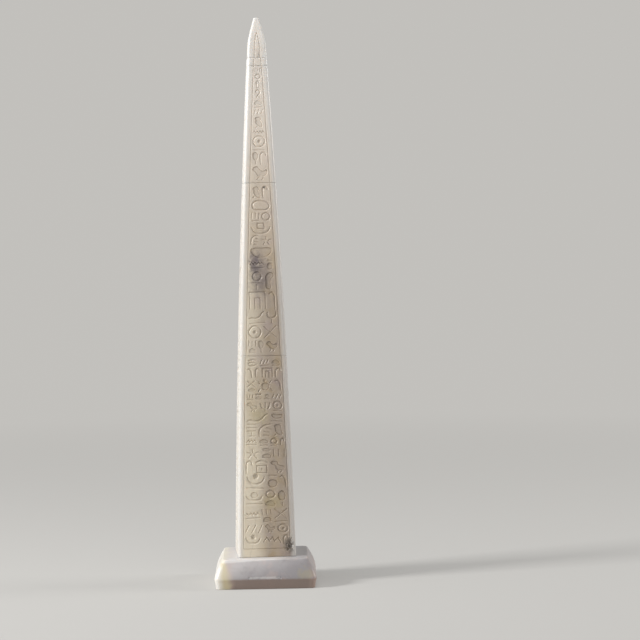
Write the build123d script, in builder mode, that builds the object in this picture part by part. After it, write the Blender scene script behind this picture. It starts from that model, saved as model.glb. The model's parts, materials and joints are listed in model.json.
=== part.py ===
"""Tapering stone obelisk on a square plinth, built of separate blocks set one on the other.

Units are millimetres, +Z is up, the front looks along -Y, and the origin is the middle of the
plinth's underside. All four faces are alike, and the shaft stands turned a little on its plinth.
"""
import os
from math import hypot, sqrt

from build123d import *

# Heights of the pieces, from the ground up
PLINTH_HEIGHT = 25.3
LOWER_SHAFT_HEIGHT = 177.3
MIDDLE_SHAFT_HEIGHT = 151.9
UPPER_SHAFT_HEIGHT = 103.0
NECK_BAND_HEIGHT = 6.7
CAP_HEIGHT = 35.8

# Shaft: four faces that lean in along one long arc, with rounded arrises
FOOT_WIDTH = 51.2
NECK_WIDTH = 18.2
ENTASIS = 1.9              # how far the middle of a face stands out from its chord
ARRIS_RADIUS = 2.6
LIP = 0.5                  # bevel on both lips of a bed joint, which opens it as a V groove
STRETCHES = 2              # straight stretches that follow the arc in each block
SHAFT_TURN = 4.0           # degrees from the plinth's faces, counter-clockwise from above

# Line cut round the carved field of each face
LOWER_MARGIN = 4.8         # from the corner of the face to the middle of the line
UPPER_MARGIN = 5.6
LINE_WIDTH = 0.9
LINE_DEPTH = 0.45
FOOT_BAND = 7.0            # plain band left under the field

# Pyramidion: a shank, then faces that turn in over a rounded shoulder
CAP_SETBACK = 0.4          # from the neck band's face to the cap's
SHANK_LEAN = 0.65
SHOULDER_HEIGHT = 16.1     # above the cap's bed, where its two slopes would meet
SHOULDER_RADIUS = 60.0
SHOULDER_FACETS = 4
TIP_WIDTH = 4.6
TIP_BEVEL = 0.5
CAP_ARRIS_RADIUS = 1.6

# Plinth: undercut foot, low arris, swelling slope, flat top
PLINTH_WIDTH = 90.0
PLINTH_UNDERCUT = 1.75     # from the low arris in to the foot
PLINTH_TOP_WIDTH = 74.7
PLINTH_ARRIS_HEIGHT = 9.0
PLINTH_SWELL = 1.0
PLINTH_FACETS = 3
PLINTH_CORNER_RADIUS = 4.0
PLINTH_ARRIS_RADIUS = 1.2
PLINTH_EDGE_RADIUS = 0.6

# Circle of the shaft's face: one arc from foot to neck, seen from the side
rise = LOWER_SHAFT_HEIGHT + MIDDLE_SHAFT_HEIGHT + UPPER_SHAFT_HEIGHT
lean = (FOOT_WIDTH - NECK_WIDTH) / 2
chord = hypot(rise, lean)
arc_radius = chord ** 2 / (8 * ENTASIS) + ENTASIS / 2
arc_x = (FOOT_WIDTH + NECK_WIDTH) / 4 - (arc_radius - ENTASIS) * rise / chord
arc_z = PLINTH_HEIGHT + rise / 2 - (arc_radius - ENTASIS) * lean / chord


def half_width(height, inset=0.0):
    """Half the width at a height of the shaft's outline, set in from its face."""
    return arc_x + sqrt((arc_radius - inset) ** 2 - (height - arc_z) ** 2)


def course(level, half, radius=0.0):
    """A level square section with a half width, its corners rounded where a radius is given."""
    with BuildSketch(Plane.XY.offset(level)) as section:
        corners = Rectangle(2 * half, 2 * half).vertices()
        if radius:
            fillet(corners, radius)
    return section.sketch


def shaft_levels(bottom, top):
    """Levels at which the shaft's courses lie from one bed to the next."""
    step = (top - bottom) / STRETCHES
    return [bottom + step * count for count in range(STRETCHES + 1)]


def core_courses(bottom, top):
    """Square sections of a shaft block, set in from its faces by the depth of the line."""
    levels = shaft_levels(bottom, top)
    return [course(level, half_width(level, inset=LINE_DEPTH)) for level in levels]


def block_courses(bottom, top):
    """Sections of a shaft block with rounded arrises, drawn in by the lip at both beds."""
    foot = course(bottom, half_width(bottom) - LIP, ARRIS_RADIUS - LIP)
    head = course(top, half_width(top) - LIP, ARRIS_RADIUS - LIP)
    levels = [bottom + LIP, *shaft_levels(bottom, top)[1:-1], top - LIP]
    return [foot, *[course(level, half_width(level), ARRIS_RADIUS) for level in levels], head]


def shaft_front(bottom, top, inset):
    """The shaft's outline seen from the front, set in from its faces."""
    middle = (bottom + top) / 2
    with BuildSketch(Plane.XZ) as outline:
        with BuildLine():
            side = ThreePointArc(
                (half_width(bottom, inset), bottom),
                (half_width(middle, inset), middle),
                (half_width(top, inset), top),
            )
            Polyline(side @ 1, (0, top), (0, bottom), side @ 0)
        make_face()
        mirror(about=Plane.YZ)
    return outline.sketch


def line_cutter(ring, core):
    """What cuts a flat ring of line into the front and back faces, down to a core."""
    with BuildPart() as cutter:
        extrude(ring, amount=FOOT_WIDTH, both=True)
        loft(core, ruled=True, mode=Mode.SUBTRACT)
    return cutter.part


os.makedirs("parts", exist_ok=True)

# Plinth
with BuildLine(Plane.XZ) as plinth_side:
    SagittaArc(
        (PLINTH_WIDTH / 2, PLINTH_ARRIS_HEIGHT),
        (PLINTH_TOP_WIDTH / 2, PLINTH_HEIGHT),
        -PLINTH_SWELL,
    )
slope = [plinth_side.edge() @ (count / PLINTH_FACETS) for count in range(PLINTH_FACETS + 1)]
foot_course = course(0, PLINTH_WIDTH / 2 - PLINTH_UNDERCUT, PLINTH_CORNER_RADIUS)
slope_courses = [course(point.Z, point.X, PLINTH_CORNER_RADIUS) for point in slope]
with BuildPart() as plinth:
    loft([foot_course, *slope_courses], ruled=True)
    low_arris = plinth.edges().filter_by_position(
        Axis.Z, PLINTH_ARRIS_HEIGHT - 0.1, PLINTH_ARRIS_HEIGHT + 0.1
    )
    fillet(low_arris, PLINTH_ARRIS_RADIUS)
    fillet(plinth.faces().filter_by(Axis.Z).edges(), PLINTH_EDGE_RADIUS)
plinth.part.label = "plinth"
export_step(plinth.part, "parts/plinth.step")

# Shaft blocks and neck band, each bedded on the one below
blocks = (
    ("lower_shaft", LOWER_SHAFT_HEIGHT, LOWER_MARGIN),
    ("middle_shaft", MIDDLE_SHAFT_HEIGHT, UPPER_MARGIN),
    ("upper_shaft", UPPER_SHAFT_HEIGHT, UPPER_MARGIN),
    ("neck_band", NECK_BAND_HEIGHT, UPPER_MARGIN),
)
bed = PLINTH_HEIGHT
for name, height, margin in blocks:
    top = bed + height
    line_foot = max(bed, PLINTH_HEIGHT + FOOT_BAND)
    field_foot = max(bed, PLINTH_HEIGHT + FOOT_BAND + LINE_WIDTH)
    outer = shaft_front(line_foot, top, margin - LINE_WIDTH / 2)
    field = shaft_front(field_foot, top, margin + LINE_WIDTH / 2)
    line = line_cutter(outer - field, core_courses(bed, top))
    with BuildPart() as block:
        loft(block_courses(bed, top), ruled=True)
        add(line, mode=Mode.SUBTRACT)
        add(line.rotate(Axis.Z, 90), mode=Mode.SUBTRACT)
    turned_block = block.part.rotate(Axis.Z, SHAFT_TURN)
    turned_block.label = name
    export_step(turned_block, f"parts/{name}.step")
    bed = top

# Pyramidion, seen from the front and run down past its bed so that its line runs off it there
cap_half = half_width(bed) - CAP_SETBACK
shoulder_half = cap_half - SHANK_LEAN
skirt = 2 * UPPER_MARGIN
with BuildSketch(Plane.XZ) as cap_front:
    with BuildLine():
        Polyline(
            (0, bed - skirt),
            (cap_half + skirt * SHANK_LEAN / SHOULDER_HEIGHT, bed - skirt),
            (shoulder_half, bed + SHOULDER_HEIGHT),
            (TIP_WIDTH / 2, bed + CAP_HEIGHT),
            (0, bed + CAP_HEIGHT),
            close=True,
        )
    make_face()
    fillet(cap_front.vertices().sort_by(Axis.X)[-2], SHOULDER_RADIUS)
    mirror(about=Plane.YZ)
with BuildSketch(Plane.XZ) as cap_line:
    add(cap_front.face())
    offset(amount=LINE_WIDTH / 2 - UPPER_MARGIN, mode=Mode.REPLACE)
    offset(amount=-LINE_WIDTH, mode=Mode.SUBTRACT)

# Levels of the cap as pairs of height and half width: bed, rounded shoulder and bevelled tip
shoulder = cap_front.sketch.edges().filter_by(GeomType.CIRCLE).sort_by(Axis.X)[-1]
turn = [shoulder @ (count / SHOULDER_FACETS) for count in range(SHOULDER_FACETS + 1)]
turn.sort(key=lambda point: point.Z)
slope_lean = (shoulder_half - TIP_WIDTH / 2) / (CAP_HEIGHT - SHOULDER_HEIGHT)
cap_levels = [
    (bed, cap_half),
    *[(point.Z, point.X) for point in turn],
    (bed + CAP_HEIGHT - TIP_BEVEL, TIP_WIDTH / 2 + TIP_BEVEL * slope_lean),
    (bed + CAP_HEIGHT, TIP_WIDTH / 2 - TIP_BEVEL),
]
cap_core = [course(level, half - LINE_DEPTH) for level, half in cap_levels]
line = line_cutter(cap_line.sketch, cap_core)
cap_foot = course(bed, cap_half - LIP, CAP_ARRIS_RADIUS - LIP)
cap_levels[0] = (bed + LIP, cap_half - LIP * SHANK_LEAN / SHOULDER_HEIGHT)
cap_courses = [course(level, half, CAP_ARRIS_RADIUS) for level, half in cap_levels]
with BuildPart() as pyramidion:
    loft([cap_foot, *cap_courses], ruled=True)
    add(line, mode=Mode.SUBTRACT)
    add(line.rotate(Axis.Z, 90), mode=Mode.SUBTRACT)
turned_cap = pyramidion.part.rotate(Axis.Z, SHAFT_TURN)
turned_cap.label = "pyramidion"
export_step(turned_cap, "parts/pyramidion.step")
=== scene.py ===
"""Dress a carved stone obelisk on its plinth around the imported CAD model.

Lengths are in metres, +Z is up, the front looks along -Y and the origin is the middle of the
plinth's underside. Signs and frame lines are cut into the four faces of the shaft.
"""
import json
import math
import random
from functools import partial
from itertools import zip_longest

import bmesh
import bpy
from mathutils import Matrix, Vector

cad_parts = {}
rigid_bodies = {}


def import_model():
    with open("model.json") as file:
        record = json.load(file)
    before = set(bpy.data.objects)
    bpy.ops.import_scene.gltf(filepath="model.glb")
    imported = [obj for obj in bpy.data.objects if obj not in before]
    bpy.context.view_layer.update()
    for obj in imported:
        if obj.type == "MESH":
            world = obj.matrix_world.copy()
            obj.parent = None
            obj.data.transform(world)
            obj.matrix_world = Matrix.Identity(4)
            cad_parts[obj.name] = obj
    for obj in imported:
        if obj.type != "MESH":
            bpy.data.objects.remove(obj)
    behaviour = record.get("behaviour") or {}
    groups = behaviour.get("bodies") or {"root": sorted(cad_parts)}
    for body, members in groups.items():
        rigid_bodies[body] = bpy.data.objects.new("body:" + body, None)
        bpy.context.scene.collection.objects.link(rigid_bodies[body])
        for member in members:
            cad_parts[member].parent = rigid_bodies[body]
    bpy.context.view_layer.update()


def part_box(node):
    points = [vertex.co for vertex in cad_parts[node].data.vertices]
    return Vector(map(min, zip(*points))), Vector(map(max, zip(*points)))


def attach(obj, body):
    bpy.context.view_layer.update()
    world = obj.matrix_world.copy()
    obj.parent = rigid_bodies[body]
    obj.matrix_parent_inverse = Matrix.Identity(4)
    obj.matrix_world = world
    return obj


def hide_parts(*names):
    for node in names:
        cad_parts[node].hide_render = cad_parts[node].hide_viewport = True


bl_info = {
    "name": "Carved stone obelisk",
    "version": (1, 0, 0),
    "blender": (4, 5, 0),
    "location": "View3D > Sidebar > Obelisk",
    "description": "Carves, veins and lights a stone obelisk on its plinth",
    "category": "Object",
}

for start_up in list(bpy.data.objects):
    bpy.data.objects.remove(start_up)
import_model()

MM = 0.001
SAME = 1e-6  # places closer than this are one place
# Width of each block's strokes against one at the foot of the shaft
FINER = {"lower_shaft": 0.9, "middle_shaft": 0.84, "upper_shaft": 0.7}
PLINTH_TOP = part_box("plinth")[1].z
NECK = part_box("upper_shaft")[1].z
CAP_FOOT, CAP_TOP = (corner.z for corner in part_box("pyramidion"))
GROOVE_REACH = 0.66  # from the middle of a stroke to the edge of its cutter, in widths
dice = random.Random(7)


def linear(code):
    """Turn an sRGB hex colour into linear red, green and blue."""
    values = [int(code[start : start + 2], 16) / 255 for start in (1, 3, 5)]
    return [v / 12.92 if v <= 0.04045 else ((v + 0.055) / 1.055) ** 2.4 for v in values]


def length(name, description, default):
    """A length property, given in millimetres and kept in metres."""
    return bpy.props.FloatProperty(
        name=name, description=description, default=default * MM, unit="LENGTH"
    )


def colour(name, description, default):
    """A colour property, given as sRGB hex."""
    return bpy.props.FloatVectorProperty(
        name=name, description=description, default=linear(default), subtype="COLOR"
    )


class ShaftSizes(bpy.types.PropertyGroup):
    foot_width: length("Foot width", "Width of the shaft where it stands on the plinth", 51.2)
    neck_width: length("Neck width", "Width of the shaft under the neck band", 18.2)
    entasis: length("Entasis", "How far the middle of a face stands out from its chord", 1.9)
    turn: bpy.props.FloatProperty(
        name="Turn",
        description="Turn of the shaft on its plinth, counter-clockwise from above",
        default=math.radians(4.0),
        unit="ROTATION",
    )
    arris: length("Arris radius", "Rounding of the four upright edges", 2.6)
    lip: length("Lip", "Bevel on both lips of a bed joint", 0.5)
    lower_margin: length("Lower margin", "Corner of the face to the line, lowest block", 4.8)
    upper_margin: length("Upper margin", "Corner of the face to the line, other blocks", 5.6)
    foot_band: length("Foot band", "Plain band left under the carved field", 7.0)
    cap_setback: length("Cap setback", "From the neck band's face in to the cap's", 0.4)
    shank_lean: length("Shank lean", "How far the cap's shank leans in", 0.65)
    shoulder: length("Shoulder height", "Where the cap's two slopes meet, above its bed", 16.1)
    tip_width: length("Tip width", "Width of the cap's blunt tip", 4.6)
    cap_arris: length("Cap arris radius", "Rounding of the cap's upright edges", 1.6)
    line_width: length("Line width", "Width of the line round the field", 1.0)
    line_depth: length("Line depth", "Depth of the line round the field", 0.5)
    stroke_width: length("Stroke width", "Width of a stroke at the foot of the shaft", 2.4)
    stroke_depth: length("Stroke depth", "Depth of a stroke at the foot of the shaft", 0.7)


class PlinthSizes(bpy.types.PropertyGroup):
    width: length("Width", "Width at the low arris", 90.0)
    undercut: length("Undercut", "From the low arris in to the foot", 1.75)
    top_width: length("Top width", "Width of the flat top", 74.7)
    arris_height: length("Arris height", "Height of the low arris", 9.0)
    swell: length("Swell", "How far the slope stands out from its chord", 1.0)
    corner: length("Corner radius", "Rounding of the four corners", 4.0)
    wave: length("Wave", "Unevenness left by grinding the slope by hand", 0.5)


class StoneColours(bpy.types.PropertyGroup):
    cool: colour("Cool stone", "Grey-pink cloud in the carved field", "#A59788")
    warm: colour("Warm stone", "Warm cloud in the carved field", "#AD9D89")
    honey: colour("Honey", "Honey patches in the carved field", "#A08A62")
    blush: colour("Blush", "Violet-pink patches in the carved field", "#A08E90")
    # Painted light: this band stands for light from the left glowing through the stone
    painted_light_cream: colour("Cream band", "Cream band up the left of the shaft", "#E3D8C2")
    pale: colour("Pale stone", "Paler, warmer stone of the top block", "#E0D3C3")
    # Also painted light, where it whitens the left face and arris
    margin: colour("Margin", "Polished stone outside the frame lines", "#D3D0CB")
    vein: colour("Vein", "Thin grey-brown veins", "#8C7F74")
    stain: colour("Stain", "Grey-violet stain on the middle block", "#544A54")
    # Darkens the dark grain and the chips at the shaft's foot
    dark_grain_and_chip: colour("Soil", "Dark soiling in the chip and the dark grain", "#57504A")
    # Dust, and painted shade in the carving
    dust_and_shade: colour("Dust", "What has settled in the carving", "#8F7E69")
    moss: colour("Green tinge", "Greenish yellow patches", "#A89B6C")
    plinth: colour("Plinth", "Body colour of the plinth", "#BEB9B8")
    # Real grey patches in the plinth, and painted shade on the plinth and right of the shaft
    grey_and_painted_shade: colour("Plinth grey", "Grey in the plinth and right of the shaft", "#7E7A7C")
    # Also painted light: the plinth's top and its front edge
    pale_and_painted_light: colour("Fresh break", "Stone bared where the plinth's arris is chipped", "#E4E1DD")
    plinth_yellow: colour("Plinth yellow", "Yellow band at one end of the plinth", "#D5CCA2")
    plinth_pink: colour("Plinth pink", "Pink band at one end of the plinth", "#CDB0A3")
    # Laid as darker brown stone under the low arris
    plinth_brown: colour("Plinth brown", "Soiled stone under the low arris", "#836F62")


class StageSettings(bpy.types.PropertyGroup):
    floor: colour("Floor", "Colour of the floor and backdrop", "#C4C2BE")


# Signs in the manner of old temple carving, drawn on a grid: x across, y up from the foot. A
# slash ends a stroke. curve and loop are smooth, line and panel straight; loop and panel
# close; area is a smooth outline sunk as a whole; dot is a hollow with a middle and a radius.
SIGNS = {
    "heron": (
        "area 4.8,3.4 3,2.2 0.4,2.2 -1.6,3.8 -2,6 -3.8,6.6 -4.6,8.2 -3.4,9.8 -1.2,9.9 0.3,8.6"
        " 0.6,6.8 2.4,6 4.4,5.2 / line 0.8,1.7 -0.6,0 / line 2.9,1.7 1.7,0 / dot -2.2,8.4 0.7"
    ),
    "owl": (
        "area -2.2,9.2 -0.4,9.9 1.6,9.6 2.5,8 2.1,6.3 2.8,4.2 3.4,1.8 2.6,0.5 0.8,1.2 -1.4,3.2"
        " -2.3,5.4 -2,6.8 -2.7,8 / line -1,1.9 -2.4,0.2 / line -0.8,7.6 1,7.6"
    ),
    "chick": (
        "area -3.8,5.6 -3,7.4 -1,7.6 0.2,6 2,5.3 3.6,6.2 4.2,4.8 3.4,2.8 1.2,1.9 -1.2,2.3"
        " -2.3,4.2 / line -0.4,1.6 -1.4,0 / line 1.9,1.4 1.1,0"
    ),
    "sun": "loop 0,0 2.5,1.1 3.6,3.6 2.5,6.1 0,7.2 -2.5,6.1 -3.6,3.6 -2.5,1.1 / dot 0,3.6 1.2",
    "oval": "loop 0,0 3.6,0.4 5,2.6 3.6,4.8 0,5.2 -3.6,4.8 -5,2.6 -3.6,0.4",
    "ring": "loop 0,0 1.8,0.8 2.6,2.6 1.8,4.4 0,5.2 -1.8,4.4 -2.6,2.6 -1.8,0.8",
    "mouth": "area -5,2.2 -3.4,3.8 0,4.4 3.4,3.8 5,2.2 3.4,0.6 0,0 -3.4,0.6",
    "reed": "area -1.4,3.8 -2.3,6.2 -2,8.8 0,10 1.8,8.6 2.1,6 1.2,3.8 -0.1,3.2 / line 0,2.4 0,0",
    "water": "line -6,0.4 -4.5,2.6 -3,0.4 -1.5,2.6 0,0.4 1.5,2.6 3,0.4 4.5,2.6 6,0.4",
    "loaf": "area -3,0.4 -3.2,1.8 -2,3.5 0,4.2 2,3.5 3.2,1.8 3,0.4 1.6,0 -1.6,0",
    "basket": "area -5,4.2 -4.6,2.2 -2.6,0.5 0,0 2.6,0.5 4.6,2.2 5,4.2 4,5 0,4.8 -4,5",
    "bowl": "curve -4.6,4 -3,0.9 0,0 3,0.9 4.6,4",
    "bar": "line -5,0.4 5,0.4",
    "hill": "line -5,0.2 -3.2,3.6 -1.5,1 0,3.6 1.5,1 3.2,3.6 5,0.2",
    "strokes": "line -3,0 -3,5 / line 0,0 0,5 / line 3,0 3,5",
    "slants": "line -4.2,0 -2.4,5 / line -0.9,0 0.9,5 / line 2.4,0 4.2,5",
    "crooks": (
        "curve -1.5,0 -1.7,5 -2.1,8 -3.5,9.7 -5.2,8.4"
        " / curve 1.9,0 2.1,5 2.5,8 3.9,9.7 5.6,8.4"
    ),
    "staff": "curve 1.2,0 1,5 0.6,8 -0.8,9.8 -2.6,8.6",
    "hook": "curve -1.8,0 -2,5 -1.6,8 0.2,9.6 1.9,8.4 2,6.6",
    "leg": "line -1.2,10 -1.2,0.4 2.8,0.4 / line 1.6,10 1.6,4.6",
    "looped_cross": (
        "loop 0,5 2,6.6 2.2,8.8 0,10.2 -2.2,8.8 -2,6.6 / line -3.6,3.8 3.6,3.8"
        " / line 0,3.2 0,0"
    ),
    "portal": "line -4.3,0 -4.3,9.6 4.3,9.6 4.3,0 / line -1.4,0 -1.4,6.4 1.4,6.4 1.4,0",
    "boat": (
        "curve -6.2,4.6 -4.6,1.9 -1.8,0.4 1.8,0.4 4.6,1.9 6.2,4.6"
        " / panel -2.2,3.4 2.2,3.4 2.2,6.8 -2.2,6.8"
    ),
    "snake": "curve -6.2,0.4 -3.8,1.6 -1.4,0.6 1,1.4 3.2,3 4.6,5.2 6.4,5.8",
    "wing": (
        "curve -4.6,0.2 -4.2,5 -1.8,8.8 3.8,10 / line -1.9,1.2 2,0.2 / line -1.5,4.2 2.8,2.9"
        " / line 0.4,7 3.8,5.8"
    ),
    "crossed": "line -3.4,0 3.4,6.4 / line -3.4,6.4 3.4,0",
    "eye": (
        "curve -5,2.6 -2.6,4.5 0.8,4.6 5.2,2.2 / curve -4.2,1.1 -1.6,0.1 1.6,0.1 4,0.9"
        " / dot 0,2.3 1 / curve -4.8,6.4 -1.6,7.6 2,7.4 5,6.2"
    ),
    "beetle": (
        "area 0,0 2.2,1 3,3.4 2.4,5.9 0,7 -2.4,5.9 -3,3.4 -2.2,1 / dot 0,8.8 1.3"
        " / line -3.6,5.8 -5,8.4 / line 3.6,5.8 5,8.4 / line -3.8,1.6 -5.2,-0.6"
        " / line 3.8,1.6 5.2,-0.6"
    ),
    "lotus": "line 0,0 0,9.6 / curve -1.2,2 -3,3.8 -4.2,8.8 / curve 1.2,2 3,3.8 4.2,8.8",
    "star": (
        "line 0,5.2 0,8.8 / line 1.2,4.6 4.4,5.6 / line 0.8,3.4 2.8,0.6"
        " / line -0.8,3.4 -2.8,0.6 / line -1.2,4.6 -4.4,5.6"
    ),
    "crescent": "curve -4.2,4.2 -3,1.3 0,0 3,1.3 4.2,4.2 / dot 0,4.4 1.5",
    "pillar": (
        "line -3.2,10 3.2,10 / line -3.4,7.2 3.4,7.2 / line -3.2,4.4 3.2,4.4"
        " / line 0,3.8 0,0.6 / line -2.4,0 2.4,0"
    ),
    "jar": (
        "area -1.2,6.2 -2.9,4.4 -2.5,1.4 0,0 2.5,1.4 2.9,4.4 1.2,6.2 0,6.6"
        " / line -2.4,8.8 2.4,8.8"
    ),
    "plume": "area -1.4,0.6 -1.8,4 -1.6,8 0.4,9.9 2.8,9.2 2.6,7 1.4,5.6 1.2,3.4 1.2,0.6 0,0",
    "shrine": (
        "panel -3.5,0 3.5,0 3.5,6.2 -3.5,6.2 / curve -4.4,8.4 -2.2,9.8 0,10.1 2.2,9.8 4.4,8.4"
        " / line 0,2 0,4.2"
    ),
    "waves": (
        "curve -3,0 -3.7,2.5 -2.5,5 -3.5,7.5 -2.8,10"
        " / curve 0.2,0 -0.5,2.5 0.7,5 -0.3,7.5 0.4,10 / curve 3.4,0 2.7,2.5 3.9,5 2.9,7.5 3.6,10"
    ),
    "cord": (
        "curve -2.2,0 -0.2,3.4 1.9,6.4 1.4,9.2 -0.8,9.8 -2.2,7.8 -1.4,5.6 / line 0.7,2.5 2.2,0"
    ),
    "horns": "curve -3.4,9.6 -3.4,6.4 0,4.4 3.4,6.4 3.4,9.6 / line 0,3.6 0,0",
    "fish": (
        "area -4.8,2.2 -3.2,3.9 0,4.3 2.4,3.4 3,2.2 2.4,1 0,0.1 -3.2,0.5"
        " / line 3.8,2.8 5.8,4.4 / line 3.8,1.6 5.8,0"
    ),
}

# Rows of signs on the front or back and on the sides of each block, from the top down. A slash
# ends a row, a plus sets one sign over another. The back and the left side have the rows
# mirrored and from the foot up.
COLUMNS = {
    "upper_shaft": (
        "strokes / ring / hook+bar / cord / loaf+bar / slants / owl / water / sun+bar"
        " / reed hook / chick",
        "slants / staff / oval+bar / waves / mouth / jar / looped_cross / water / loaf+bar"
        " / lotus / plume reed",
    ),
    "middle_shaft": (
        "owl hook / oval / strokes+bar ring / boat / wing star / basket / water+bar jar"
        " / looped_cross plume / portal staff / snake+bar horns / sun crossed"
        " / strokes+loaf reed chick",
        "beetle jar / water / looped_cross staff / mouth+strokes ring / heron / star bowl"
        " / pillar owl / fish / lotus slants+mouth / waves hook / eye+bar leg",
    ),
    "lower_shaft": (
        "eye slants+bar loaf+bar / crooks portal hook / crossed+mouth beetle staff"
        " / strokes+bar water+loaf ring+bar slants / heron lotus sun+bar / snake basket+bar"
        " / pillar wing owl / hill+bar loaf+bar ring+bar hook / star mouth+loaf strokes"
        " / hook shrine heron / crescent+bar jar staff / boat+bar ring+loaf reed"
        " / water+bar strokes+loaf crossed+bar / slants chick sun / crescent hill hook",
        "horns basket+bar sun / owl water+mouth looped_cross / bowl+strokes snake+bar"
        " / jar portal reed reed / chick star+loaf lotus / eye slants+bar"
        " / strokes+bar hook loaf+bar / heron staff pillar / boat hill+bar"
        " / beetle plume crossed+mouth / mouth+water basket+bar cord / ring fish strokes",
    ),
}

# Middle and reach in millimetres of the chips at the right of the shaft's foot, and where the
# plinth's low arris is chipped, at the front as the photograph shows and on the other sides
FOOT_CHIPS = (
    ((20.4, -26.2, 38.6), 2.0),
    ((20.6, -26.4, 34.8), 2.7),
    ((17.2, -26.6, 36.4), 1.9),
    ((18.4, -26.6, 31.6), 2.0),
    ((22.4, -26.4, 31.8), 1.4),
    ((16.0, -26.8, 28.6), 1.4),
    ((21.8, -25.6, 41.6), 1.0),
)
FRONT_CHIPS = (-14, -9, -2.5, 2, 3, 10, 13)
OTHER_CHIPS = (-31, -12, 7, 26)


def settings():
    """Sizes of the shaft."""
    return bpy.context.scene.obelisk_shaft


def margin_of(block):
    """From the corner of a block's face in to the middle of its line."""
    sizes = settings()
    return sizes.lower_margin if block == "lower_shaft" else sizes.upper_margin


def add_node(tree, kind, sockets, **values):
    """Add a shader node, set its properties, and set or link its sockets. Returns its first
    output. Map Range maps from sockets 1 and 2 to 3 and 4, and Mix blends colours 6 and 7."""
    node = tree.nodes.new("ShaderNode" + kind)
    for name, value in values.items():
        setattr(node, name, value)
    for key, value in sockets.items():
        if isinstance(value, bpy.types.NodeSocket):
            tree.links.new(value, node.inputs[key])
        else:
            node.inputs[key].default_value = value
    return next((output for output in node.outputs if output.enabled), None)


def new_material(name):
    """An empty material, and what adds a node to it."""
    paint = bpy.data.materials.new(name)
    paint.use_nodes = True
    paint.node_tree.nodes.clear()
    return paint, partial(add_node, paint.node_tree)


def lay_tones(add, tint, *tones):
    """Lay tones over a tint. Each has the value that steers it, where on that value it starts
    and where it is full, how strong it gets, and its colour."""
    for value, start, full, most, tone in tones:
        factor = add(
            "MapRange", {0: value, 1: start, 2: full, 4: most}, interpolation_type="SMOOTHSTEP"
        )
        tint = add("Mix", {0: factor, 6: tint, 7: (*tone, 1)}, data_type="RGBA")
    return tint


def lay_spots(add, tint, place, ragged, *spots):
    """Lay ragged spots over a tint. Each has a middle and reaches in millimetres, how strong it
    is, and its colour."""
    frayed = 1.6  # how much of the noise is added to the distance, which is 1 at the reach
    outside, inside = 1.7, 1.05  # where the tone starts and is full, with the noise at about 0.5
    for centre, reach, most, tone in spots:
        shift = [-c / r for c, r in zip(centre, reach)]
        scale = [1 / (r * MM) for r in reach]
        near = add("Mapping", {"Vector": place, "Location": shift, "Scale": scale})
        away = add("VectorMath", {0: near}, operation="LENGTH")
        rim = add("Math", {0: ragged, 1: frayed, 2: away}, operation="MULTIPLY_ADD")
        tint = lay_tones(add, tint, (rim, outside, inside, most, tone))
    return tint


def start_stone(name, turn, *noises):
    """Start a stone turned about Z: its material, what adds a node to it, the place on it, that
    place's x, y and z, and its noises. A noise has the size of its blots in millimetres, its
    detail, its roughness and its scale upwards, which is below 1 where it is drawn out."""
    paint, add = new_material(name)
    place = add("TexCoord", {}).node.outputs["Object"]
    place = add("Mapping", {"Vector": place, "Rotation": (0, 0, -turn)})
    made = []
    for size, detail, rough, upward in noises:
        at = add("Mapping", {"Vector": place, "Scale": (1, 1, upward)})
        values = {"Vector": at, "Scale": 1 / (size * MM), "Detail": detail, "Roughness": rough}
        made.append(add("TexNoise", values))
    return paint, add, place, add("SeparateXYZ", {"Vector": place}).node.outputs, made


def finish_stone(add, tint, roughness, height, reach):
    """Polished stone that lets light in a little, with the tint, gloss and grain given."""
    grain = add("Bump", {"Height": height, "Strength": 0.35, "Distance": reach})
    values = {
        "Base Color": tint,
        "Roughness": roughness,
        "IOR": 1.5,
        "Normal": grain,
        "Subsurface Weight": 0.35,
        "Subsurface Radius": (1.0, 0.88, 0.76),
        "Subsurface Scale": 6 * MM,
    }
    add("OutputMaterial", {"Surface": add("BsdfPrincipled", values)})


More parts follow.
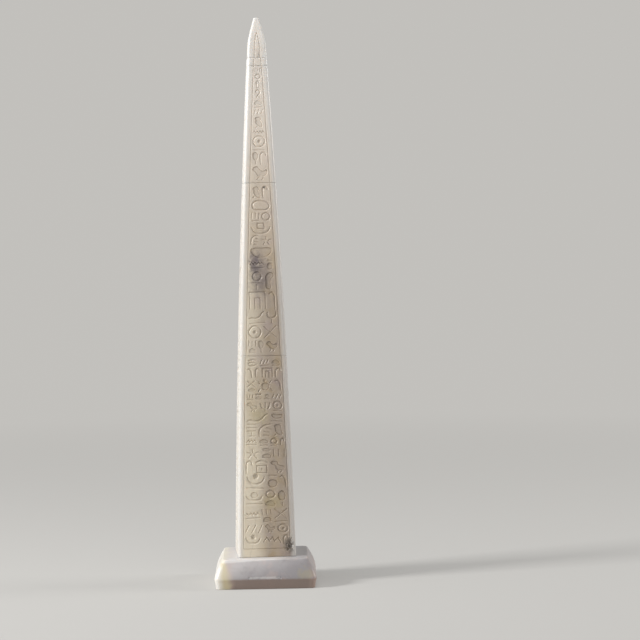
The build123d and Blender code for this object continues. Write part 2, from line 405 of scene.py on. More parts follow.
def alabaster(name, carved):
    """Egyptian alabaster, sawn and smoothed by rubbing: cloudy honey and grey-pink bands under a
    soft sheen, paler to the top and along the polished arrises, painted light up the left and on
    the left face, painted shade to the right, and faint dusting with painted shade in the carving."""
    colours = bpy.context.scene.obelisk_colours
    paint, add, place, (x, y, z), noises = start_stone(
        name, settings().turn, (26, 3, 0.5, 0.3), (6, 4, 0.6, 0.3), (15, 2, 0.5, 0.3),
        (17, 3, 0.6, 1), (1.5, 3, 0.6, 1), (4, 5, 0.7, 1),
    )
    clouds, streaks, folds, patches, specks, ragged = noises
    # Veins lie where a slow noise passes its middle value, along thin, wandering lines
    off = add("Math", {0: folds, 1: 0.5}, operation="SUBTRACT")
    vein = add("Math", {0: off}, operation="ABSOLUTE")
    # Clouds broken up by streaks, the grain's height, and a warm, pale band of painted light, as
    # if lit from the left and glowing through, from the front left arris inwards and back, its
    # edge wandering by some 10 mm
    mixed, height, across = (
        add("Math", {0: value, 1: share, 2: rest}, operation="MULTIPLY_ADD")
        for value, share, rest in ((streaks, 0.5, clouds), (streaks, 0.8, specks), (y, 0.4, x))
    )
    across = add("Math", {0: clouds, 1: 36 * MM, 2: across}, operation="MULTIPLY_ADD")
    # Distance in from the nearest arris; paler outside the frame lines, and painted light on the
    # left face
    sides = [add("Math", {0: axis}, operation="ABSOLUTE") for axis in (x, y)]
    wide, narrow = (
        add("Math", {0: sides[0], 1: sides[1]}, operation=kind) for kind in ("MAXIMUM", "MINIMUM")
    )
    inward = add("Math", {0: wide, 1: narrow}, operation="SUBTRACT")
    painted_light_left = add("Math", {0: x, 1: wide}, operation="ADD")
    tint = lay_tones(
        add,
        (*colours.cool, 1),
        (mixed, 0.6, 0.9, 1.0, colours.warm),
        (patches, 0.52, 0.68, 0.4, colours.honey),
        (patches, 0.46, 0.32, 0.4, colours.blush),
        # Painted light up the left of the shaft
        (across, 14 * MM, -12 * MM, 0.85, colours.painted_light_cream),
        (z, 230 * MM, 420 * MM, 0.85, colours.pale),
        (vein, 0.035, 0.0, 0.16, colours.vein),
        (specks, 0.56, 0.76, 0.12, colours.vein),
        # Painted shade: greyer to the right, away from the light from the left
        (x, 8 * MM, 22 * MM, 0.4, colours.cool),
        (inward, 6.5 * MM, 1.5 * MM, 0.8, colours.margin),
        # Painted shade to the right
        (x, 8 * MM, 22 * MM, 0.16, colours.grey_and_painted_shade),
        # Painted light: the left face and its arris whitened
        (painted_light_left, 3 * MM, 0.5 * MM, 0.65, colours.margin),
        (z, 340 * MM, 460 * MM, 0.35, colours.pale_and_painted_light),
    )
    roughness = add("MapRange", {0: inward, 1: 1 * MM, 2: 6 * MM, 3: 0.28, 4: 0.44})

    if carved:
        # A violet cloud and a dark grain on the front, darker stone over the chips at its foot,
        # and two greenish patches
        tint = lay_spots(
            add, tint, place, ragged,
            ((-1.5, -18, 273), (14, 16, 30), 0.4, colours.stain),
            ((-6.0, -18, 283), (7, 12, 17), 0.6, colours.stain),
            ((-1.5, -18, 268), (6, 12, 10), 0.25, colours.stain),
            ((3.4, -15, 350.4), (1.7, 3, 1.8), 0.85, colours.dark_grain_and_chip),
            ((19, -25, 35), (6.5, 7, 10), 0.7, colours.dark_grain_and_chip),
            ((-4, -20, 150), (14, 9, 12), 0.35, colours.moss),
            ((6, -22, 74), (15, 9, 11), 0.35, colours.moss),
        )
        # Dust and painted shade, darker with depth, in what is cut deeper than the face; the
        # face's arc is near enough a parabola
        arc_reach, arc_level, arc_radius = shaft_arc()
        fall = add("Math", {0: z, 1: arc_level}, operation="SUBTRACT")
        fall = add("Math", {0: fall, 1: 2.0}, operation="POWER")
        face = add("Math", {0: fall, 1: -0.5 / arc_radius, 2: arc_reach}, operation="MULTIPLY_ADD")
        depth = add("Math", {0: face, 1: wide}, operation="SUBTRACT")
        tint = lay_tones(add, tint, (depth, 0.1 * MM, 0.9 * MM, 0.1, colours.dust_and_shade))

    finish_stone(add, tint, roughness, height, 0.14 * MM)
    return paint


def marble():
    """Grey-white marble, ground by hand: faint clouds, a yellow and a pink band at one end, a top
    painted lighter as if lit from above, painted shade greying the slope to the foot and the
    right, a soft sheen on the slope and darker brown stone under the low arris."""
    colours = bpy.context.scene.obelisk_colours
    paint, add, place, (x, _, z), noises = start_stone(
        "ground_marble", 0, (20, 4, 0.5, 1), (16, 2, 0.5, 1), (12, 3, 0.6, 1),
        (1.5, 3, 0.6, 1), (4, 3, 0.6, 1),
    )
    clouds, folds, patches, specks, ragged = noises
    off = add("Math", {0: folds, 1: 0.5}, operation="SUBTRACT")
    vein = add("Math", {0: off}, operation="ABSOLUTE")
    # Bands across and the brown band's edge wander with the noise. The top is painted lighter, as
    # light from above leaves it, and less so to the right, where the shaft's shadow is painted.
    # Painted shade greys the slope to the foot and the right. Last is the grain's height.
    across, low, painted_top_light, painted_shade_level, height = (
        add("Math", {0: value, 1: share, 2: rest}, operation="MULTIPLY_ADD")
        for value, share, rest in (
            (clouds, 16 * MM, x),
            (specks, 1.5 * MM, z),
            (x, -0.05, z),
            (x, -0.33, z),
            (folds, 0.8, specks),
        )
    )
    painted_shade_level = add("Math", {0: clouds, 1: 12 * MM, 2: painted_shade_level}, operation="MULTIPLY_ADD")
    tint = lay_tones(
        add,
        (*colours.plinth, 1),
        # Painted shade: greyer to the foot and the right, with the clouds' own grey
        (painted_shade_level, 40 * MM, 11 * MM, 0.8, colours.grey_and_painted_shade),
        (patches, 0.52, 0.68, 0.18, colours.plinth_pink),
        (patches, 0.45, 0.3, 0.25, colours.grey_and_painted_shade),
        (vein, 0.05, 0.0, 0.08, colours.vein),
        (specks, 0.55, 0.8, 0.1, colours.vein),
        (low, 10.2 * MM, 8.6 * MM, 0.75, colours.plinth_brown),
        (across, -18 * MM, -25 * MM, 0.25, colours.plinth_pink),
        (across, -21 * MM, -28 * MM, 0.6, colours.plinth_yellow),
        (across, -28 * MM, -34 * MM, 0.8, colours.pale_and_painted_light),
        (across, 44 * MM, 52 * MM, 0.3, colours.plinth_pink),
        # Painted light on the top and its front edge, less to the right in the shaft's painted
        # shadow
        (painted_top_light, 23.6 * MM, 25 * MM, 0.45, colours.pale_and_painted_light),
    )
    # A greenish patch at the right, and bared stone along the chipped front arris
    tint = lay_spots(
        add, tint, place, ragged,
        ((35, -43, 13), (11, 12, 7), 0.3, colours.moss),
        ((0, -45, 10), (21, 4, 1.7), 0.28, colours.pale_and_painted_light),
    )
    roughness = add("MapRange", {0: clouds, 1: 0.3, 2: 0.7, 3: 0.3, 4: 0.42})
    finish_stone(add, tint, roughness, height, 0.15 * MM)
    return paint


def spread(low, high, steps):
    """Evenly spaced values from one value to another."""
    return [low + (high - low) * count / steps for count in range(steps + 1)]


def shaft_arc():
    """Furthest reach, level and radius of the arc that a face of the shaft follows."""
    sizes = settings()
    rise = NECK - PLINTH_TOP
    lean = (sizes.foot_width - sizes.neck_width) / 2
    chord = math.hypot(rise, lean)
    radius = chord**2 / (8 * sizes.entasis) + sizes.entasis / 2
    centre_x = (sizes.foot_width + sizes.neck_width) / 4 - (radius - sizes.entasis) * rise / chord
    centre_z = PLINTH_TOP + rise / 2 - (radius - sizes.entasis) * lean / chord
    return centre_x + radius, centre_z, radius


def half_width(height):
    """Half the width of the shaft at a height."""
    reach, level, radius = shaft_arc()
    return reach - radius + math.sqrt(radius**2 - (height - level) ** 2)


def cap_points():
    """Half the width of the pyramidion and the level it is at, rounded where the slopes meet."""
    sizes = settings()
    ease = 7 * MM  # from where the slopes would meet to where the rounding starts
    low = Vector((half_width(CAP_FOOT) - sizes.cap_setback, CAP_FOOT))
    turn = low + Vector((-sizes.shank_lean, sizes.shoulder))
    tip = Vector((sizes.tip_width / 2, CAP_TOP))
    before, after = (turn + ease * (end - turn).normalized() for end in (low, tip))
    rounded = [
        before.lerp(turn, share).lerp(turn.lerp(after, share), share)
        for share in spread(0, 1, 8)
    ]
    return [low, *rounded, tip]


def cap_half(height):
    """Half the width of the pyramidion at a height."""
    points = cap_points()
    for low, high in zip(points, points[1:]):
        if height <= high.y:
            break
    return low.x + (high.x - low.x) * (height - low.y) / (high.y - low.y)


def pick(obj, test, kind="verts"):
    """In edit mode, select only the vertices, edges or faces that pass a test."""
    bpy.ops.mesh.select_mode(type={"verts": "VERT", "edges": "EDGE", "faces": "FACE"}[kind])
    bpy.ops.mesh.select_all(action="DESELECT")
    shape = bmesh.from_edit_mesh(obj.data)
    for part in filter(test, getattr(shape, kind)):
        part.select_set(True)
    shape.select_flush_mode()
    bmesh.update_edit_mesh(obj.data)


def deselect():
    """Deselect every object."""
    bpy.ops.object.select_all(action="DESELECT")


def activate(*objs):
    """Select only the given objects and make the first the active one."""
    deselect()
    for obj in objs:
        obj.select_set(True)
    bpy.context.view_layer.objects.active = objs[0]


def settle():
    """Move a new primitive's place and scale into its mesh, and return it."""
    bpy.ops.object.transform_apply(location=True, rotation=True, scale=True)
    return bpy.context.object


def apply_modifier(obj, kind, **values):
    """Add a modifier with its values and apply it."""
    activate(obj)
    modifier = obj.modifiers.new(kind.title(), kind)
    for name, value in values.items():
        setattr(modifier, name, value)
    bpy.ops.object.modifier_apply(modifier=modifier.name)


def smooth(obj, angle):
    """Smooth all but the edges sharper than an angle in degrees, and keep wide faces flat."""
    activate(obj)
    bpy.ops.object.shade_smooth_by_angle(angle=math.radians(angle))
    apply_modifier(obj, "WEIGHTED_NORMAL", keep_sharp=True, weight=90)


def square_block(name, levels, half_at, arris):
    """A square block with the given half width at each level and rounded upright edges, left in
    edit mode."""
    foot, top = levels[0], levels[-1]
    wide = 2 * half_at(foot)
    deselect()
    bpy.ops.mesh.primitive_cube_add(
        size=1, location=(0, 0, (foot + top) / 2), scale=(wide, wide, top - foot)
    )
    block = settle()
    block.name = name
    bpy.ops.object.mode_set(mode="EDIT")
    for level in levels[1:-1]:
        bpy.ops.mesh.select_all(action="SELECT")
        bpy.ops.mesh.bisect(plane_co=(0, 0, level), plane_no=(0, 0, 1))
    for level in levels[1:]:
        pick(block, lambda vertex: abs(vertex.co.z - level) < SAME)
        ratio = 2 * half_at(level) / wide
        bpy.ops.transform.resize(value=(ratio, ratio, 1), center_override=(0, 0, level))
    pick(block, lambda edge: abs(edge.verts[0].co.z - edge.verts[1].co.z) > SAME, "edges")
    bpy.ops.mesh.bevel(offset=arris, segments=8, affect="EDGES", clamp_overlap=False)
    return block


def bevel_levels(block, levels, offset, segments):
    """In edit mode, bevel the edges round a block at the given levels."""

    def level_edge(edge):
        low, high = (vertex.co.z for vertex in edge.verts)
        return any(abs(low - level) < SAME and abs(high - level) < SAME for level in levels)

    pick(block, level_edge, "edges")
    bpy.ops.mesh.bevel(offset=offset, segments=segments, affect="EDGES", clamp_overlap=False)


def link_new(name, data):
    """Link a new object with the given data to the scene."""
    obj = bpy.data.objects.new(name, data)
    bpy.context.collection.objects.link(obj)
    return obj


def groove_section(width, depth):
    """Section of a carved groove as a curve: rounded floor, leaning walls and eased lips."""
    # The right half from the middle of the floor up, across in widths and up in depths
    half = (
        (0.0, -1.0), (0.13, -0.94), (0.25, -0.7), (0.35, -0.38), (0.43, -0.15),
        (0.51, -0.04), (0.6, 0.0), (GROOVE_REACH, 0.1), (GROOVE_REACH, 0.5),
    )
    points = [(-x, y) for x, y in reversed(half[1:])] + list(half)
    data = bpy.data.curves.new("section", "CURVE")
    data.dimensions = "2D"
    spline = data.splines.new("POLY")
    spline.points.add(len(points) - 1)
    for point, (x, y) in zip(spline.points, points):
        point.co = (x * width, y * depth, 0, 1)
    spline.use_cyclic_u = True
    return link_new("section", data)


def draw_mesh(strokes, level, **values):
    """Draw strokes flat at a level as a curve with the given values, and turn it into a mesh.
    A stroke is its kind and its points; x is across, y up and z out of the face."""
    data = bpy.data.curves.new("strokes", "CURVE")
    data.dimensions = "3D"
    for name, value in values.items():
        setattr(data, name, value)
    for kind, points in strokes:
        straight = kind in ("line", "panel")
        spline = data.splines.new("BEZIER")
        spline.bezier_points.add(len(points) - 1)
        spline.use_cyclic_u = kind not in ("line", "curve")
        for place, (x, y) in zip(spline.bezier_points, points):
            place.co = (x, y, level)
            place.handle_left_type = place.handle_right_type = "VECTOR" if straight else "AUTO"
        if straight:
            spline.resolution_u = 1
        if not spline.use_cyclic_u:  # thinner to the ends
            spline.bezier_points[0].radius = spline.bezier_points[-1].radius = 0.7
    activate(link_new("strokes", data))
    bpy.ops.object.convert(target="MESH")
    return bpy.context.object


def sweep(strokes, width, depth):
    """Cutter for grooves along strokes."""
    section = groove_section(width, depth)
    cutter = draw_mesh(
        strokes, 0, twist_mode="Z_UP", resolution_u=3, bevel_mode="OBJECT",
        bevel_object=section, use_fill_caps=True,
    )
    bpy.data.objects.remove(section)
    return cutter


def sink(areas, finer, share):
    """Cutter for areas sunk into a face: eased lips, deepest along the sides, a swelling floor.
    The walls get a share of their full width."""
    above, skin = 0.4 * MM, 0.35 * MM  # the cutter's top over the face, and its thickness there
    cutter = draw_mesh([("area", points) for points in areas], above, resolution_u=4)
    bpy.ops.object.mode_set(mode="EDIT")
    bpy.ops.mesh.select_all(action="SELECT")
    bpy.ops.mesh.edge_face_add()
    bpy.ops.mesh.extrude_region_move(TRANSFORM_OT_translate={"value": (0, 0, -skin)})
    bpy.ops.mesh.select_all(action="SELECT")
    bpy.ops.mesh.normals_make_consistent(inside=False)
    pick(cutter, lambda face: all(vertex.co.z < above / 2 for vertex in face.verts), "faces")
    fall = finer * (1 + share) / 2
    # Each step in from the outline and down: the wall, the deepest ring, then the floor
    for inset, depth in ((0.12, 0.25), (0.22, 0.6), (0.22, 0.15), (0.5, -0.35)):
        bpy.ops.mesh.inset(thickness=inset * finer * share * MM, depth=depth * fall * MM)
    bpy.ops.mesh.quads_convert_to_tris(ngon_method="BEAUTY")
    bpy.ops.object.mode_set(mode="OBJECT")
    return cutter


def hollow(place, radius):
    """A flattened ball that leaves a shallow hollow where a sign has a dot."""
    flat = 0.42 * radius
    deselect()
    bpy.ops.mesh.primitive_uv_sphere_add(
        segments=16, ring_count=8, radius=1, location=(*place, 0), scale=(radius, radius, flat)
    )
    return settle()


def join(objs):
    """Join objects into one."""
    activate(*objs)
    if len(objs) > 1:
        bpy.ops.object.join()
    return objs[0]


def carve(block, cutter):
    """Close a cutter up, cut it away from a block and throw it away."""
    activate(cutter)
    bpy.ops.object.mode_set(mode="EDIT")
    bpy.ops.mesh.select_all(action="SELECT")
    bpy.ops.mesh.remove_doubles(threshold=0.0005 * MM)  # far below its shortest edges
    bpy.ops.mesh.normals_make_consistent(inside=False)
    bpy.ops.object.mode_set(mode="OBJECT")
    before = len(block.data.polygons)
    apply_modifier(block, "BOOLEAN", operation="DIFFERENCE", solver="MANIFOLD", object=cutter)
    bpy.data.objects.remove(cutter)
    if len(block.data.polygons) == before:
        raise RuntimeError(f"{block.name} was not cut")


def lay_on_face(cutter, side, half_at):
    """Stand a flat cutter up, bend it to the leaning face and turn it to one of the four sides."""
    for vertex in cutter.data.vertices:
        across, up, out = vertex.co
        vertex.co = (across, -half_at(up) - out, up)
    cutter.data.transform(Matrix.Rotation(side * math.pi / 2, 4, "Z"))


def read_sign(name, mirrored):
    """A sign's strokes as kind, points and radius, stood on the line x = 0, and its size."""
    strokes = []
    for text in SIGNS[name].split(" / "):
        kind, *words = text.split()
        radius = float(words.pop()) if kind == "dot" else 0
        points = [Vector(map(float, word.split(","))) for word in words]
        strokes.append((kind, points, radius))
    points = [point for _, drawn, _ in strokes for point in drawn]
    low = Vector(map(min, zip(*points)))
    high = Vector(map(max, zip(*points)))
    middle = Vector(((low.x + high.x) / 2, low.y))
    flip = Vector((-1 if mirrored else 1, 1))
    moved = [
        (kind, [(point - middle) * flip for point in drawn], radius)
        for kind, drawn, radius in strokes
    ]
    return moved, high.x - low.x, high.y - low.y


def read_item(text, mirrored):
    """A sign, or signs set over each other at one width: its strokes, width and height."""
    stack = [read_sign(name, mirrored) for name in reversed(text.split("+"))]
    if len(stack) == 1:
        return stack[0]
    across, narrowest, apart = 8.0, 6, 2.2
    level = 0.0
    strokes = []
    for drawn, wide, tall in stack:
        unit = across / max(wide, narrowest)
        lift = Vector((0, level))
        strokes += [
            (kind, [point * unit + lift for point in points], radius * unit)
            for kind, points, radius in drawn
        ]
        level += tall * unit + apart
    return strokes, across, level - apart


def size_rows(block, side, top, gap, clear):
    """Fit the rows of signs of one side of a block to the width of its field, from the top down.
    A row is its signs, the scale of each, the size of the grid's unit, its width and height."""
    # Least height of a row, and of a sign as it is scaled to its row; most that it is scaled up;
    # a row's least width against its height
    low_row, low_sign, growth, slim = 2, 4, 1.6, 0.8
    mirrored = side > 1
    texts = COLUMNS[block][side % 2].split(" / ")
    rows = []
    for text in reversed(texts) if mirrored else texts:
        items = [read_item(name, mirrored) for name in text.split()]
        tallest = max(low_row, *(tall for _, _, tall in items))
        scales = [min(tallest / max(tall, low_sign), growth) for _, _, tall in items]
        wide = sum(item[1] * scale for item, scale in zip(items, scales))
        field = 2 * (half_width(top) - margin_of(block)) - clear - gap * (len(items) - 1)
        unit = field / max(wide, slim * tallest)
        rows.append((items, scales, unit, wide * unit, tallest * unit))
        top -= tallest * unit + gap
    return rows


def set_rows(block, side, foot, top):
    """Lay out the signs of one side of a block: yields each stroke's kind, points and radius."""
    stroke = settings().stroke_width * FINER[block]
    gap, clear = 1.2 * stroke, 1.9 * stroke  # between signs or rows, and beside them
    ends = 1.3 * gap  # left free over the first row and under the last
    lean, slip = math.radians(3.5), 0.12 * stroke  # most that a sign leans and a point is off
    rows = size_rows(block, side, top, gap, clear)
    free = top - foot - 2 * ends - gap * (len(rows) - 1)
    stretch = free / sum(row[-1] for row in rows)
    level = top - ends
    for items, scales, unit, wide, tall in rows:
        across = -(wide + gap * (len(items) - 1)) / 2
        for (strokes, width, height), scale in zip(items, scales):
            size = Vector((unit * scale, unit * scale * stretch))
            across += width * size.x / 2
            turn = Matrix.Rotation(dice.uniform(-lean, lean), 2)
            rise = (tall * stretch - height * size.y) / 2
            place = Vector((across, level - tall * stretch + rise))
            for kind, points, radius in strokes:
                moved = [place + turn @ (point * size) for point in points]
                slips = [Vector((dice.uniform(-1, 1), dice.uniform(-1, 1))) for _ in moved]
                yield kind, [p + slip * s for p, s in zip(moved, slips)], radius * size.x
            across += width * size.x / 2 + gap
        level -= tall * stretch + gap


def sort_strokes(strokes, reach):
    """Share strokes out over layers so that none touches another of its layer."""
    layers = []
    for kind, points, radius in strokes:
        xs, ys = zip(*points)
        out = reach + radius
        box = (min(xs) - out, min(ys) - out, max(xs) + out, max(ys) + out)
        for boxes, members in layers:
            if all(
                box[0] > other[2] or box[2] < other[0] or box[1] > other[3] or box[3] < other[1]
                for other in boxes
            ):
                break
        else:
            boxes, members = [], []
            layers.append((boxes, members))
        boxes.append(box)
        members.append((kind, points, radius))
    return [members for _, members in layers]


def room_in(points):
    """About how far the sides of a closed outline can move in before they meet."""
    ends = points[1:] + points[:1]
    twice = sum(start.x * end.y - end.x * start.y for start, end in zip(points, ends))
    return abs(twice) / 2 / sum((end - start).length for start, end in zip(points, ends))


def cut_signs(block, side, foot, top):
    """Flat cutters for the signs on one side of a block, in layers that don't touch themselves.
    A ring too small for a stroke round it is sunk as a whole."""
    finer = FINER[block]
    width = settings().stroke_width * finer
    depth = settings().stroke_depth * finer**0.7
    layers = []
    for members in sort_strokes(set_rows(block, side, foot, top), GROOVE_REACH * width):
        pieces = []
        strokes = []
        areas = {}
        for kind, points, radius in members:
            closed = kind in ("loop", "panel")
            if kind == "dot":
                pieces.append(hollow(points[0], radius))
            elif kind == "area" or closed and room_in(points) < 0.5 * width:
                # The widest walls that leave a floor between them
                room = 0.5 * room_in(points) / (finer * MM)
                share = next((share for share in (1.0, 0.7, 0.5, 0.35) if share < room), 0.2)
                areas.setdefault(share, []).append(points)
            else:
                strokes.append((kind, points))
        pieces += [sink(outlines, finer, share) for share, outlines in areas.items()]
        if strokes:
            pieces.append(sweep(strokes, width, depth))
        layers.append(join(pieces))
    return layers


def frame_lines(block, foot, top):
    """The lines round a block's field, each a list of points: two uprights, joined by a foot
    line on the lowest block and meeting in a point on the pyramidion."""
    sizes = settings()
    margin = margin_of(block)
    past_bed = 2 * MM
    low, high = foot - past_bed, top + past_bed
    half_at = half_width
    if block == "lower_shaft":
        low = foot + sizes.foot_band + sizes.line_width / 2
    if block == "pyramidion":
        half_at = cap_half
        margin *= 1.03  # level here, but square to the leaning outline in the CAD model
        high = top
        while half_at(high) < margin:
            high -= 0.1 * MM
    right = [(half_at(level) - margin, level) for level in spread(low, high, 16)]
    left = [(-across, level) for across, level in right]
    return [left[::-1] + right] if block == "lower_shaft" else [left, right]


def cut_side(block, side, foot, top):
    """Cutters for the frame lines and signs on one side of a block. None touches itself."""
    sizes = settings()
    cutters = [
        sweep([("line", line)], sizes.line_width, sizes.line_depth)
        for line in frame_lines(block, foot, top)
    ]
    if block in COLUMNS:
        band = sizes.foot_band + sizes.line_width if block == "lower_shaft" else 0
        cutters += cut_signs(block, side, foot + band, top)
    for cutter in cutters:
        lay_on_face(cutter, side, cap_half if block == "pyramidion" else half_width)
    return cutters


def build_block(name):
    """One block above the plinth, with its frame lines and, on the shaft, its signs."""
    sizes = settings()
    foot, top = (corner.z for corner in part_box(name))
    if name == "pyramidion":
        levels = [point.y for point in cap_points()]
        block = square_block(f"{name}_carved", levels, cap_half, sizes.cap_arris)
    else:
        levels = spread(foot, top, 8)
        block = square_block(f"{name}_carved", levels, half_width, sizes.arris)
    bevel_levels(block, (foot, top), sizes.lip, 1)
    bpy.ops.object.mode_set(mode="OBJECT")
    # A layer at a time on all four sides, because cutters that touch can't be cut together
    for layer in zip_longest(*[cut_side(name, side, foot, top) for side in range(4)]):
        carve(block, join([cutter for cutter in layer if cutter]))
    if name == "lower_shaft":
        break_chips(block, FOOT_CHIPS)
    smooth(block, 30)
    block.data.transform(Matrix.Rotation(sizes.turn, 4, "Z"))
    return block


def break_chips(obj, chips):
    """Break rough chips out of a piece, each with its place and its reach in millimetres."""
    rough = 0.22  # how far a lump's points move, against its reach
    for layer in (chips[::2], chips[1::2]):
        deselect()
        for place, reach in layer:
            bpy.ops.mesh.primitive_ico_sphere_add(
                subdivisions=3, radius=reach * MM, location=[value * MM for value in place]
            )
            if bpy.context.mode == "OBJECT":
                lumps = settle()
                bpy.ops.object.mode_set(mode="EDIT")
            bpy.ops.transform.vertex_random(offset=rough * reach * MM, seed=dice.randrange(1000))
        bpy.ops.object.mode_set(mode="OBJECT")
        carve(obj, lumps)


def build_plinth():
    """The plinth: undercut foot, low arris, swelling slope and flat top."""
    sizes = bpy.context.scene.obelisk_plinth
    foot_half = sizes.width / 2 - sizes.undercut
    rise = PLINTH_TOP - sizes.arris_height
    lean = (sizes.width - sizes.top_width) / 2

    def half_at(level):
        if level < sizes.arris_height:
            return foot_half + sizes.undercut * level / sizes.arris_height
        share = (level - sizes.arris_height) / rise
        return sizes.width / 2 - lean * share + 4 * sizes.swell * share * (1 - share)

    slope = spread(sizes.arris_height, PLINTH_TOP, 6)
    plinth = square_block("plinth_ground", [0, *slope], half_at, sizes.corner)
    for level, radius in ((sizes.arris_height, 1.2), (0, 0.6), (PLINTH_TOP, 0.6)):
        bevel_levels(plinth, (level,), radius * MM, 3)
    # Cut into squares of 4 mm for the uneven surface
    for count in range(-11, 12):
        for axis in ((1, 0, 0), (0, 1, 0)):
            bpy.ops.mesh.select_all(action="SELECT")
            bpy.ops.mesh.bisect(plane_co=[count * 4 * MM * a for a in axis], plane_no=axis)
    bpy.ops.object.mode_set(mode="OBJECT")

    # Uneven from grinding by hand, but for the bed and the flat top
    ground = plinth.vertex_groups.new(name="ground")
    inside = [
        vertex.index for vertex in plinth.data.vertices if 2 * MM < vertex.co.z < PLINTH_TOP - MM
    ]
    ground.add(inside, 1.0, "REPLACE")
    swells = bpy.data.textures.new("swells", "CLOUDS")
    swells.noise_scale = 14 * MM
    apply_modifier(
        plinth, "DISPLACE", texture=swells, texture_coords="LOCAL", strength=sizes.wave,
        mid_level=1.0, vertex_group="ground",
    )
    # Chips round points just outside the low arris, in millimetres
    chips = []
    for side in range(4):
        for across in FRONT_CHIPS if side == 0 else OTHER_CHIPS:
            place = Vector((across + dice.uniform(-1, 1), -45.3 - dice.uniform(0, 0.3), 10))
            place.rotate(Matrix.Rotation(side * math.pi / 2, 3, "Z"))
            chips.append((place, dice.uniform(0.8, 1.5)))
    break_chips(plinth, chips)
    return plinth


class OBELISK_OT_plinth(bpy.types.Operator):
    """Grind the plinth"""

    bl_idname = "obelisk.plinth"
    bl_label = "Grind plinth"

    def execute(self, context):
        plinth = build_plinth()
        smooth(plinth, 40)
        plinth.active_material = marble()
        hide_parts("plinth")
        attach(plinth, "root")
        return {"FINISHED"}


def place_blocks(names, paint):
    """Build blocks and put them in the place of the CAD model's."""
    for name in names:
        block = build_block(name)
        block.active_material = paint
        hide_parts(name)
        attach(block, "root")


class OBELISK_OT_shaft(bpy.types.Operator):
    """Carve the three blocks of the shaft"""

    bl_idname = "obelisk.shaft"
    bl_label = "Carve shaft"

    def execute(self, context):
        place_blocks(COLUMNS, alabaster("carved_alabaster", True))
        return {"FINISHED"}


class OBELISK_OT_cap(bpy.types.Operator):
    """Cut and polish the neck band and the pyramidion"""

    bl_idname = "obelisk.cap"
    bl_label = "Cut cap"

    def execute(self, context):
        place_blocks(("neck_band", "pyramidion"), alabaster("polished_alabaster", False))
        return {"FINISHED"}


def backdrop_paper(tone):
    """Matt paper, rolled smooth. It takes the object's shadow close by, and further off shows
    the camera one even tone."""
    paint, add = new_material("matt_paper_backdrop")
    matt = add("BsdfDiffuse", {"Color": tone})
    even = add("Emission", {"Color": tone, "Strength": 1.0})
    path = add("LightPath", {}).node.outputs
    seen = add("Math", {0: path["Is Camera Ray"], 1: path["Is Glossy Ray"]}, operation="ADD")
    away = add("VectorMath", {0: add("TexCoord", {}).node.outputs["Object"]}, operation="LENGTH")
    share = add("MapRange", {0: away, 1: 0.1, 2: 1.6, 3: 0.3, 4: 0.95})
    share = add("Math", {0: seen, 1: share}, operation="MULTIPLY")
    mixed = add("MixShader", {0: share, 1: matt, 2: even})
    add("OutputMaterial", {"Surface": mixed})
    return paint


def lay_floor(tone):
    """A floor that bends up into a backdrop."""
    size, middle, rise, bend = 12, -2.5, 6, 2
    back = middle + size / 2
    deselect()
    bpy.ops.mesh.primitive_plane_add(size=size, location=(0, middle, 0))
    floor = settle()
    floor.name = "floor"
    bpy.ops.object.mode_set(mode="EDIT")

    def back_edge(edge):
        return all(abs(vertex.co.y - back) < SAME and vertex.co.z < SAME for vertex in edge.verts)

    pick(floor, back_edge, "edges")
    bpy.ops.mesh.extrude_region_move(TRANSFORM_OT_translate={"value": (0, 0, rise)})
    pick(floor, back_edge, "edges")
    bpy.ops.mesh.bevel(offset=bend, segments=16, affect="EDGES", clamp_overlap=False)
    bpy.ops.object.mode_set(mode="OBJECT")
    bpy.ops.object.shade_smooth()
    floor.active_material = backdrop_paper(tone)


def hang_lamps():
    """Area lamps that face the object, each with its place, size and power."""
    aim = Vector((0, 0, 0.25))
    for name, place, size, power in (
        ("key", (-2.0, -0.75, 1.15), 0.5, 58),
        ("top", (-0.3, -0.2, 1.8), 0.7, 6),
        ("rim", (1.7, 0.1, 0.7), 0.6, 14),
        ("fill", (0.5, -2.6, 1.2), 1.6, 8),
    ):
        lamp = link_new(name, bpy.data.lights.new(name, "AREA"))
        lamp.data.size = size
        lamp.data.energy = power
        lamp.location = place
        lamp.rotation_euler = (aim - Vector(place)).to_track_quat("-Z", "Y").to_euler()


def light_world(tone):
    """Soft, cool light from all round. Past the floor's end the camera, and only the camera,
    sees the floor's tone."""
    world = bpy.data.worlds.new("studio")
    world.use_nodes = True
    world.node_tree.nodes.clear()
    add = partial(add_node, world.node_tree)
    light = add("Background", {"Color": (0.95, 0.97, 1, 1), "Strength": 0.36})
    beyond = add("Background", {"Color": tone, "Strength": 1.0})
    path = add("LightPath", {}).node.outputs
    sky = add("MixShader", {0: path["Is Camera Ray"], 1: light, 2: beyond})
    add("OutputWorld", {"Surface": sky})
    bpy.context.scene.world = world


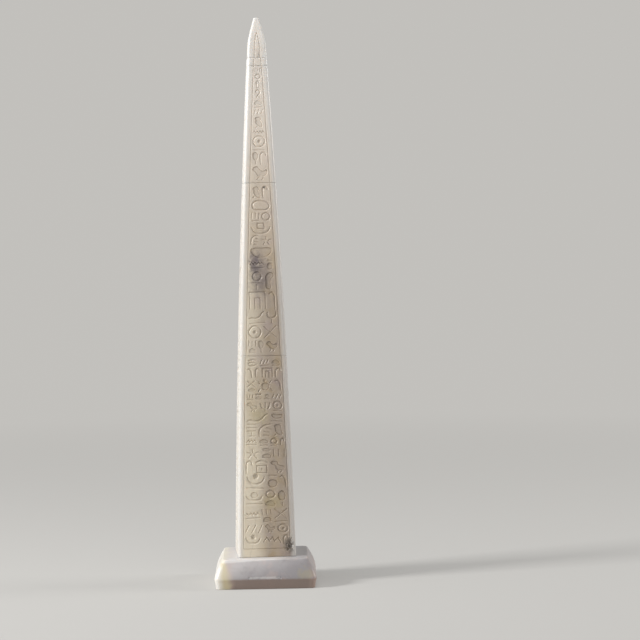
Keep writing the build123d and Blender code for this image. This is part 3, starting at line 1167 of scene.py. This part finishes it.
def set_camera():
    """A camera with the photograph's view, panned, tilted and rolled by so many degrees."""
    camera = link_new("camera", bpy.data.cameras.new("camera"))
    camera.data.lens = 124.9
    camera.data.sensor_width = 36
    camera.data.clip_end = 50
    pan, tilt, roll = (
        Matrix.Rotation(math.radians(angle), 4, axis)
        for angle, axis in ((-0.97, "Z"), (90 - 2.81, "X"), (-0.95, "Z"))
    )
    camera.matrix_world = Matrix.Translation((0.0187, -1.9695, 0.329)) @ (pan @ tilt @ roll)
    bpy.context.scene.camera = camera


class OBELISK_OT_stage(bpy.types.Operator):
    """Lay the floor and backdrop, and set the lights and the camera"""

    bl_idname = "obelisk.stage"
    bl_label = "Set stage"

    def execute(self, context):
        tone = (*context.scene.obelisk_stage.floor, 1)
        lay_floor(tone)
        hang_lamps()
        light_world(tone)
        set_camera()
        context.scene.view_settings.view_transform = "Standard"
        return {"FINISHED"}


GROUPS = {
    "obelisk_plinth": PlinthSizes,
    "obelisk_shaft": ShaftSizes,
    "obelisk_colours": StoneColours,
    "obelisk_stage": StageSettings,
}
STEPS = (OBELISK_OT_plinth, OBELISK_OT_shaft, OBELISK_OT_cap, OBELISK_OT_stage)


class OBELISK_PT_panel(bpy.types.Panel):
    """Lists the sizes, colours and steps of the obelisk"""

    bl_label = "Obelisk"
    bl_idname = "OBELISK_PT_panel"
    bl_space_type = "VIEW_3D"
    bl_region_type = "UI"
    bl_category = "Obelisk"

    def draw(self, context):
        for name in GROUPS:
            group = getattr(context.scene, name)
            for key in group.bl_rna.properties.keys():
                if key not in ("rna_type", "name"):
                    self.layout.prop(group, key)
        for step in STEPS:
            self.layout.operator(step.bl_idname)


CLASSES = (*GROUPS.values(), *STEPS, OBELISK_PT_panel)


def register():
    for cls in CLASSES:
        bpy.utils.register_class(cls)
    for name, group in GROUPS.items():
        setattr(bpy.types.Scene, name, bpy.props.PointerProperty(type=group))


def unregister():
    for name in GROUPS:
        delattr(bpy.types.Scene, name)
    for cls in reversed(CLASSES):
        bpy.utils.unregister_class(cls)


def main():
    register()
    bpy.ops.obelisk.plinth()
    bpy.ops.obelisk.shaft()
    bpy.ops.obelisk.cap()
    bpy.ops.obelisk.stage()


if __name__ == "__main__":
    main()
